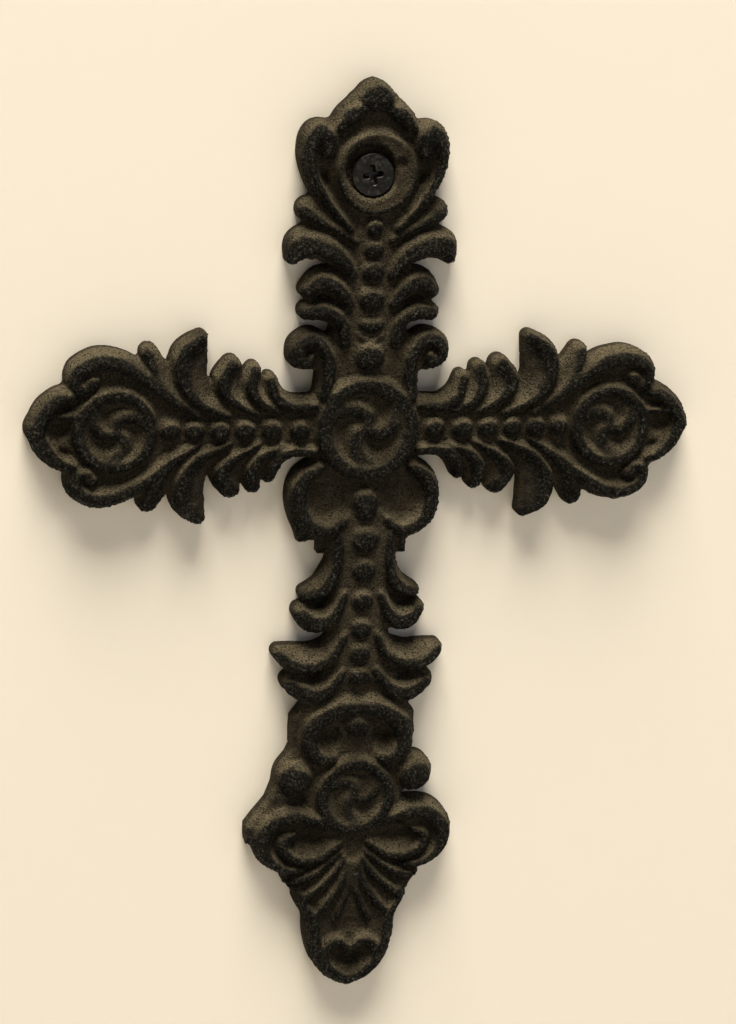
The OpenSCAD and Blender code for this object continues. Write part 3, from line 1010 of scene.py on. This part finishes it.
@dataclass
class Casting:
    """The iron cross: relief, side wall and flat back in one closed mesh."""

    low: Vector
    high: Vector
    seat_r: float
    hole_r: float
    cell: float = 0.31
    pad: float = 1.5
    inset: float = 2e-6
    ornament: Ornament = field(default_factory=Ornament)
    skin: Skin = field(default_factory=Skin)
    finish: CastIronFinish = field(default_factory=CastIronFinish)

    @property
    def centre(self) -> Point:
        """Place of the drawing's origin in the frame, in millimetres."""
        return (0.5 * (self.low.x + self.high.x) / MM, self.high.z / MM - self.ornament.top_z)

    @property
    def scale(self) -> Point:
        """Frame size over drawing size, across and up."""
        o = self.ornament
        return ((self.high.x - self.low.x) / MM / o.span,
                (self.high.z - self.low.z) / MM / (o.top_z - o.foot_z))

    def relief(self) -> Relief:
        """Set up the fields with the screw's hole and seat on the drawing."""
        hole = (-self.centre[0] / self.scale[0], -self.centre[1] / self.scale[1])
        return Relief(self.ornament, hole, self.hole_r, self.seat_r, self.ornament.boss)

    def snapped(self, gap: Array, xs: Array, zs: Array) -> tuple[Array, Array, Array]:
        """Move the grid's nodes that lie near the outline on to it.

        Args:
            gap: distance to the outline at each node.
            xs: places across.
            zs: places up.

        Returns:
            Node places across and up, and which nodes are kept.
        """
        x, z = np.meshgrid(xs, zs, indexing="ij")
        gx, gz = np.gradient(gap, self.cell)
        size = np.maximum(np.hypot(gx, gz), 0.6)
        near = np.abs(gap) < 0.5 * self.cell
        step = np.where(near, gap / size, 0.0)
        step = np.clip(step, -0.49 * self.cell, 0.49 * self.cell)
        keep = near | (gap < 0)
        return x - step * gx / size, z - step * gz / size, keep

    def cells(self, gap: Array, keep: Array) -> list[list[tuple[int, int]]]:
        """List the grid's faces that cover the casting, with no two of them pinched.

        Args:
            gap: distance to the outline at each node.
            keep: nodes that may be used.

        Returns:
            Faces as lists of nodes, each with three or four.
        """
        near = keep & (np.abs(gap) < 0.5 * self.cell)
        corners = ((0, 0), (1, 0), (1, 1), (0, 1))
        rows, columns = gap.shape[0] - 1, gap.shape[1] - 1
        shift = [(slice(a, a + rows), slice(b, b + columns)) for a, b in corners]
        count = sum(keep[at].astype(int) for at in shift)
        edge = sum(near[at].astype(int) for at in shift)
        middle = 0.25 * sum(gap[at] for at in shift)
        whole = (count == 4) & ~((edge == 4) & (middle > 0))
        good = whole | (count == 3) & (middle < 0.4 * self.cell)
        faces = []
        for i, j in zip(*np.nonzero(good)):
            faces.append([(int(i) + a, int(j) + b) for a, b in corners if keep[i + a, j + b]])
        for _ in range(8):
            turns: dict[tuple[int, int], int] = {}
            for a, b in self.rim(faces):
                turns[a] = turns.get(a, 0) + 1
            bad = {node for node, times in turns.items() if times > 1}
            if not bad:
                break
            faces = [f for f in faces if not bad.intersection(f)]
        return faces

    @staticmethod
    def rim(faces: Iterable[Sequence]) -> list[tuple]:
        """List the directed edges that only one face has.

        Args:
            faces: faces as nodes or points in order.

        Returns:
            Each edge as its first and second end.
        """
        edges: dict[tuple, tuple] = {}
        for f in faces:
            for a, b in zip(f, list(f[1:]) + [f[0]]):
                key = (min(a, b), max(a, b))
                if edges.pop(key, None) is None:
                    edges[key] = (a, b)
        return list(edges.values())

    def build(self) -> bpy.types.Object:
        """Build and dress the casting.

        Returns:
            The finished object, in metres in the frame.
        """
        o = self.ornament
        xs = np.arange(-o.span / 2 - self.pad, o.span / 2 + self.pad, self.cell)
        zs = np.arange(o.foot_z - self.pad, o.top_z + self.pad, self.cell)
        gap, height, shelf, cavity = self.relief().solve(xs, zs)
        x, z, keep = self.snapped(gap, xs, zs)
        grid = self.cells(gap, keep)
        used = np.zeros(gap.shape, dtype=bool)
        used[tuple(np.array([node for f in grid for node in f]).T)] = True
        index = -np.ones(gap.shape, dtype=int)
        index[used] = np.arange(used.sum())
        faces = [tuple(int(index[node]) for node in f) for f in grid]
        sx, sz = self.scale
        cx, cz = self.centre
        top = np.column_stack([cx + x[used] * sx, -height[used], cz + z[used] * sz])
        return self.close(top, faces, cavity[used], shelf[used])

    def close(self, top: Array, faces: list[tuple[int, ...]], cavity: Array,
              shelf: Array) -> bpy.types.Object:
        """Add the side wall and the back to the relief.

        Args:
            top: points of the relief in frame millimetres.
            faces: its faces.
            cavity: how far each point stands over its neighbourhood.
            shelf: how far the surface faces up there.

        Returns:
            The closed, roughened and dressed object.
        """
        follow = dict(self.rim(faces))
        points = [top]
        total = len(top)
        walls, loops = [], []
        levels = (0.66, 0.33, 0.0)
        extra, ledges = [], []
        while follow:
            start, at = follow.popitem()
            loop = [start]
            while at != start:
                loop.append(at)
                at = follow.pop(at)
            ids = loop
            for share in levels:
                lower = top[loop] * (1.0, share, 1.0)
                fresh = list(range(total, total + len(loop)))
                total += len(loop)
                points.append(lower)
                extra.append(np.full(len(loop), -0.9 + 0.5 * share))
                ledges.append(np.zeros(len(loop)))
                turned, ahead = ids[1:] + ids[:1], fresh[1:] + fresh[:1]
                walls += [(b, a, c, d) for a, b, c, d in zip(ids, turned, fresh, ahead)]
                ids = fresh
            loops.append(ids)
        verts = np.concatenate(points)
        obj = make_object("Casting", verts, faces + walls + self.cap(verts, loops))
        self.attribute(obj, "cavity", np.concatenate([cavity] + extra))
        self.attribute(obj, "shelf", np.concatenate([shelf] + ledges))
        self.attribute(obj, "rough", smooth_step(-verts[:, 1], 0.1, 1.2))
        flat = verts[:, 1] > -1e-6
        sharp = obj.data.attributes.new("sharp_edge", "BOOLEAN", "EDGE")
        ends = np.empty(2 * len(obj.data.edges), dtype=np.int32)
        obj.data.edges.foreach_get("vertices", ends)
        sharp.data.foreach_set("value", flat[ends.reshape(-1, 2)].all(axis=1))
        done = self.skin.apply(obj, self.finish.build())
        self.fit(done)
        LOG.info("casting: %d faces, %d loops", len(done.data.polygons), len(loops))
        return done

    def cap(self, verts: Array, loops: list[list[int]]) -> list[tuple[int, ...]]:
        """Cover the back between its outlines.

        Args:
            verts: all points.
            loops: the points round each outline of the back, in order.

        Returns:
            Triangles that face back.
        """
        flat = [i for loop in loops for i in loop]
        edges, start = [], 0
        for loop in loops:
            n = len(loop)
            edges += [(start + k, start + (k + 1) % n) for k in range(n)]
            start += n
        spots = [Vector((verts[i][0], verts[i][2])) for i in flat]
        places, _, tris, origins, _, _ = geometry.delaunay_2d_cdt(spots, edges, [], 1, 1e-6, True)
        known = np.array([tuple(spot) for spot in spots])
        match = [flat[own[0]] if own else flat[int(np.hypot(*(known - tuple(place)).T).argmin())]
                 for own, place in zip(origins, places)]
        rings = [np.array([(verts[i][0], verts[i][2]) for i in loop]) for loop in loops]
        out = []
        for tri in tris:
            ids = tuple(match[k] for k in tri)
            if len(set(ids)) < 3:
                continue
            mid = verts[list(ids)].mean(axis=0)
            inside = sum(self.crossings(ring, mid[0], mid[2]) for ring in rings)
            if inside % 2:
                out.append(self.facing_back(verts, ids))
        return out

    @staticmethod
    def crossings(ring: Array, x: float, z: float) -> int:
        """Count the edges of a ring that lie to the right of a place, at its level.

        Args:
            ring: corners in order.
            x: the place across.
            z: the place up.

        Returns:
            The count, odd where the place is inside.
        """
        a, b = ring, np.roll(ring, -1, 0)
        spans = (a[:, 1] > z) != (b[:, 1] > z)
        a, b = a[spans], b[spans]
        at = a[:, 0] + (z - a[:, 1]) * (b[:, 0] - a[:, 0]) / (b[:, 1] - a[:, 1])
        return int((at > x).sum())

    def fit(self, obj: bpy.types.Object) -> None:
        """Stretch the roughened casting by a hair so that it fills its box exactly.

        Args:
            obj: the casting.
        """
        co = np.empty(3 * len(obj.data.vertices), dtype=np.float32)
        obj.data.vertices.foreach_get("co", co)
        co = co.reshape(-1, 3).astype(float)
        low, high = co.min(axis=0), co.max(axis=0)
        want_low, want_high = np.array(self.low) + self.inset, np.array(self.high) - self.inset
        co = want_low + (co - low) * (want_high - want_low) / (high - low)
        obj.data.vertices.foreach_set("co", co.astype(np.float32).ravel())
        obj.data.update()

    @staticmethod
    def facing_back(points: Array, tri: tuple[int, ...]) -> tuple[int, ...]:
        """Turn a triangle of the back so that it faces away from the front."""
        a, b, c = (points[i] for i in tri)
        return tri if np.cross(b - a, c - a)[1] > 0 else tri[::-1]

    @staticmethod
    def attribute(obj: bpy.types.Object, name: str, values: Array) -> None:
        """Store one number on each point of a mesh."""
        layer = obj.data.attributes.new(name, "FLOAT", "POINT")
        layer.data.foreach_set("value", np.asarray(values, dtype=np.float32))


@dataclass
class Screw:
    """Countersunk cross-recess wood screw, turned, with a rolled thread."""

    low: Vector
    high: Vector
    segments: int = 72
    lip: float = 0.4
    neck: float = 1.72
    core: float = 0.68
    pitch: float = 1.75
    tip: float = 4.0
    slot: float = 0.42
    slot_deep: float = 1.5
    slot_reach: float = 2.15
    turn: float = 8.0
    thread_start: float = 0.9
    thread_end: float = 0.7
    tip_r: float = 0.25
    finish: BlackOxideFinish = field(default_factory=BlackOxideFinish)

    @property
    def head_r(self) -> float:
        """Radius of the head in millimetres."""
        return (self.high.x - self.low.x) / (2 * MM)

    @property
    def face(self) -> float:
        """Place of the head's face along Y, in millimetres."""
        return self.low.y / MM

    def recess(self, x: Array, z: Array) -> Array:
        """Give the depth of the cross recess below the head's face.

        Args:
            x: across the head, in millimetres.
            z: up the head, in millimetres.

        Returns:
            The depth at each place.
        """
        a = math.radians(self.turn)
        u = np.abs(x * math.cos(a) + z * math.sin(a))
        v = np.abs(z * math.cos(a) - x * math.sin(a))
        wing = np.minimum(u, v)
        reach = np.maximum(u, v)
        half = self.slot * (1.15 - 0.25 * reach / self.slot_reach)
        side = smooth_step(half + 0.16 - wing, 0, 0.22)
        end = smooth_step(self.slot_reach - reach, 0, 0.9)
        return self.slot_deep * side * end

    def body(self, thread_r: float) -> bpy.types.Object:
        """Turn the head, shank and point.

        Args:
            thread_r: outside radius of the thread.

        Returns:
            The closed body with its recess.
        """
        end = self.high.y / MM
        core = self.core * thread_r
        fine = [self.head_r * (k / 26) for k in range(1, 26)]
        rows = [(r, self.face) for r in fine]
        cone = self.face + self.lip
        rows += [(self.head_r - 0.12, self.face + 0.02), (self.head_r, self.face + 0.14),
                 (self.head_r, cone), (self.neck, cone + self.head_r - self.neck),
                 (self.neck, -0.3), (core, 0.5), (core, end - self.tip),
                 (0.55 * core, end - 0.4 * self.tip), (0.12 * core, end - 0.05)]
        verts = [(0.0, self.face + self.slot_deep, 0.0)]
        for r, y in rows:
            for k in range(self.segments):
                a = 2 * math.pi * k / self.segments
                verts.append((r * math.cos(a), y, r * math.sin(a)))
        points = np.array(verts)
        front = slice(1, 1 + len(fine) * self.segments)
        points[front, 1] += self.recess(points[front, 0], points[front, 2])
        faces: list[tuple[int, ...]] = []
        n = self.segments
        for k in range(n):
            faces.append((0, 1 + k, 1 + (k + 1) % n))
        for row in range(len(rows) - 1):
            base = 1 + row * n
            for k in range(n):
                m = (k + 1) % n
                faces.append((base + k, base + n + k, base + n + m, base + m))
        last = 1 + (len(rows) - 1) * n
        faces.append(tuple(last + k for k in range(n)))
        return make_object("Screw", points, faces)

    def thread_tree(self) -> bpy.types.NodeTree:
        """Build the tree that winds a thread round the shank and joins it on.

        Returns:
            The tree, which also sets the material.
        """
        tree = new_tree("Screw thread", [
            ("Turns", "NodeSocketFloat", 1.0), ("Length", "NodeSocketFloat", 0.01),
            ("Radius", "NodeSocketFloat", 0.001), ("Tip radius", "NodeSocketFloat", 0.0005),
            ("Ridge", "NodeSocketFloat", 0.0005), ("Start", "NodeSocketFloat", 0.0),
            ("Material", "NodeSocketMaterial", None)])
        source = add_node(tree, "NodeGroupInput")
        out = source.outputs
        helix = add_node(tree, "GeometryNodeCurveSpiral", None,
                         {"Resolution": 40, "Rotations": out["Turns"],
                          "Start Radius": out["Radius"], "End Radius": out["Radius"],
                          "Height": out["Length"]})
        share = add_node(tree, "GeometryNodeSplineParameter").outputs["Factor"]
        taper = add_node(tree, "ShaderNodeMapRange", None,
                         {"Value": share, "From Min": 0.72, "From Max": 1.0, "To Min": 1.0,
                          "To Max": arith(tree, "DIVIDE", out["Tip radius"], out["Radius"])})
        place = add_node(tree, "GeometryNodeInputPosition").outputs[0]
        split = add_node(tree, "ShaderNodeSeparateXYZ", None, {0: place})
        narrow = add_node(tree, "ShaderNodeCombineXYZ", None, {
            "X": arith(tree, "MULTIPLY", split.outputs["X"], taper.outputs[0]),
            "Y": arith(tree, "MULTIPLY", split.outputs["Y"], taper.outputs[0]),
            "Z": split.outputs["Z"]})
        wound = add_node(tree, "GeometryNodeSetPosition", None,
                         {"Geometry": helix.outputs[0], "Position": narrow.outputs[0]})
        profile = add_node(tree, "GeometryNodeCurvePrimitiveCircle", None,
                           {"Resolution": 4, "Radius": out["Ridge"]})
        ends = add_node(tree, "ShaderNodeMapRange", {"interpolation_type": "SMOOTHSTEP"},
                        {"Value": arith(tree, "PINGPONG", share, 0.5), "From Min": 0.0,
                         "From Max": 0.03, "To Min": 0.25, "To Max": 1.0})
        swept = add_node(tree, "GeometryNodeCurveToMesh", None,
                         {"Curve": wound.outputs[0], "Profile Curve": profile.outputs[0],
                          "Scale": ends.outputs[0], "Fill Caps": True})
        laid = add_node(tree, "GeometryNodeTransform", None,
                        {"Geometry": swept.outputs[0], "Rotation": (-math.pi / 2, 0.0, 0.0)})
        start = add_node(tree, "ShaderNodeCombineXYZ", None, {"Y": out["Start"]})
        moved = add_node(tree, "GeometryNodeSetPosition", None,
                         {"Geometry": laid.outputs[0], "Offset": start.outputs[0]})
        joined = add_node(tree, "GeometryNodeJoinGeometry")
        tree.links.new(out["Geometry"], joined.inputs[0])
        tree.links.new(moved.outputs[0], joined.inputs[0])
        real = add_node(tree, "GeometryNodeRealizeInstances", None, {0: joined.outputs[0]})
        dressed = add_node(tree, "GeometryNodeSetMaterial", None,
                           {"Geometry": real.outputs[0], "Material": out["Material"]})
        add_node(tree, "NodeGroupOutput", None, {0: dressed.outputs[0]})
        return tree

    def build(self, thread_r: float) -> bpy.types.Object:
        """Build and dress the screw.

        Args:
            thread_r: outside radius of the thread in millimetres.

        Returns:
            The finished screw.
        """
        body = self.body(thread_r)
        end = self.high.y / MM
        ridge = thread_r * (1 - self.core) * 0.85
        start = self.thread_start
        length = end - self.thread_end - start
        return bake(body, self.thread_tree(), {
            "Turns": length / self.pitch, "Length": length * MM, "Radius": (thread_r - ridge) * MM,
            "Tip radius": self.tip_r * MM, "Ridge": ridge * MM, "Start": start * MM,
            "Material": self.finish.build()})


# ---------------------------------------------------------------- studio

@dataclass
class Studio:
    """Pale wall and floor, soft lights, and the camera."""

    low: Vector
    high: Vector
    azimuth: float = -13.06
    elevation: float = 13.82
    roll: float = 1.98
    distance: float = 0.5
    lens: float = 88.9
    sensor: float = 36.0
    aim: tuple[float, float] = (0.0025, -0.0671)
    board_gap: float = 0.0002
    finish: BackdropFinish = field(default_factory=BackdropFinish)

    def quad(self, name: str, corners: Sequence[tuple[float, float, float]],
             material: bpy.types.Material) -> None:
        """Add one flat stage board.

        Args:
            name: its name.
            corners: its four corners in the frame.
            material: what it wears.
        """
        mesh = bpy.data.meshes.new(name)
        mesh.from_pydata([Vector(c) for c in corners], [], [(0, 1, 2, 3)])
        mesh.materials.append(material)
        obj = bpy.data.objects.new(name, mesh)
        bpy.context.scene.collection.objects.link(obj)

    def boards(self) -> None:
        """Put up the wall that the back lies on, and the floor below."""
        board = self.finish.build()
        back = self.back_y + self.board_gap
        half, top, floor = 3.0, 3.0, self.low.z - 0.35
        self.quad("Wall", [(-half, back, floor), (half, back, floor), (half, back, top),
                           (-half, back, top)], board)
        self.quad("Floor", [(-half, -2 * half, floor), (half, -2 * half, floor),
                            (half, 2 * half, floor), (-half, 2 * half, floor)], board)

    @property
    def back_y(self) -> float:
        """Place of the casting's back along Y."""
        return self.high.y

    def lamp(self, name: str, place: tuple[float, float, float], size: float, power: float,
             colour: str) -> bpy.types.Object:
        """Add one square soft light that looks at the cross.

        Args:
            name: its name.
            place: where it hangs in the frame.
            size: length of its side in metres.
            power: its power in watts.
            colour: its sRGB hex colour.

        Returns:
            The lamp's object.
        """
        data = bpy.data.lights.new(name, "AREA")
        data.shape = "SQUARE"
        data.size = size
        data.energy = power
        data.color = linear(colour)[:3]
        obj = bpy.data.objects.new(name, data)
        at = Vector(place)
        target = 0.5 * (self.low + self.high)
        obj.location = at
        obj.rotation_euler = (target - at).to_track_quat("-Z", "Y").to_euler()
        bpy.context.scene.collection.objects.link(obj)
        return obj

    def lights(self) -> None:
        """Set the lights: a strong one above, and soft fills from front and back.

        The rear lamp stays out of gloss, so that it leaves no flecks in the notches.
        """
        self.lamp("Key", (-0.18, -0.80, 2.15), 1.2, 166.0, "#fff3dd")
        self.lamp("Fill", (0.8, -1.1, 0.0), 1.0, 2.4, "#eef2ff")
        self.lamp("Rear", (-0.02, 1.3, -0.06), 0.3, 22.0, "#fff8ee").visible_glossy = False
        world = bpy.data.worlds.new("Pale room")
        world.use_nodes = True
        sky = world.node_tree.nodes["Background"]
        sky.inputs["Color"].default_value = linear("#f1efea")
        sky.inputs["Strength"].default_value = 0.13
        bpy.context.scene.world = world

    def camera(self) -> None:
        """Set the camera almost square in front of the cross."""
        a, e, r = (math.radians(v) for v in (self.azimuth, self.elevation, self.roll))
        back = Vector((math.sin(a) * math.cos(e), -math.cos(a) * math.cos(e), math.sin(e)))
        right = Vector((math.cos(a), math.sin(a), 0.0))
        up = back.cross(right)
        data = bpy.data.cameras.new("Camera")
        data.lens = self.lens
        data.sensor_width = self.sensor
        data.clip_start = 0.01
        data.dof.use_dof = False
        obj = bpy.data.objects.new("Camera", data)
        tilted = math.cos(r) * right + math.sin(r) * up
        above = -math.sin(r) * right + math.cos(r) * up
        turn = Matrix((tilted, above, back)).transposed()
        target = Vector((self.aim[0], 0.0, self.aim[1]))
        obj.matrix_world = Matrix.Translation(target + back * self.distance) @ turn.to_4x4()
        bpy.context.scene.collection.objects.link(obj)
        bpy.context.scene.camera = obj


def main() -> None:
    """Build the cross, its screw and the studio."""
    logging.basicConfig(level=logging.INFO)
    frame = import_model()
    low, high = (Vector(c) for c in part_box("cross"))
    screw_low, screw_high = (Vector(c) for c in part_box("screw"))
    shank = next(m for m in frame["record"]["mounts"] if m["name"] == "screw_shank")
    thread_r = shank["dims"]["r_mm"]
    screw = Screw(screw_low, screw_high)
    seat_r = screw.head_r + 0.42
    casting = Casting(low, high, seat_r, thread_r + 0.3).build()
    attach(casting, "root")
    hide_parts("cross")
    fixing = screw.build(thread_r)
    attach(fixing, "root")
    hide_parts("screw")
    studio = Studio(low, high)
    studio.boards()
    studio.lights()
    studio.camera()
    scene = bpy.context.scene
    scene.view_settings.view_transform = "Standard"


if __name__ == "__main__":
    main()
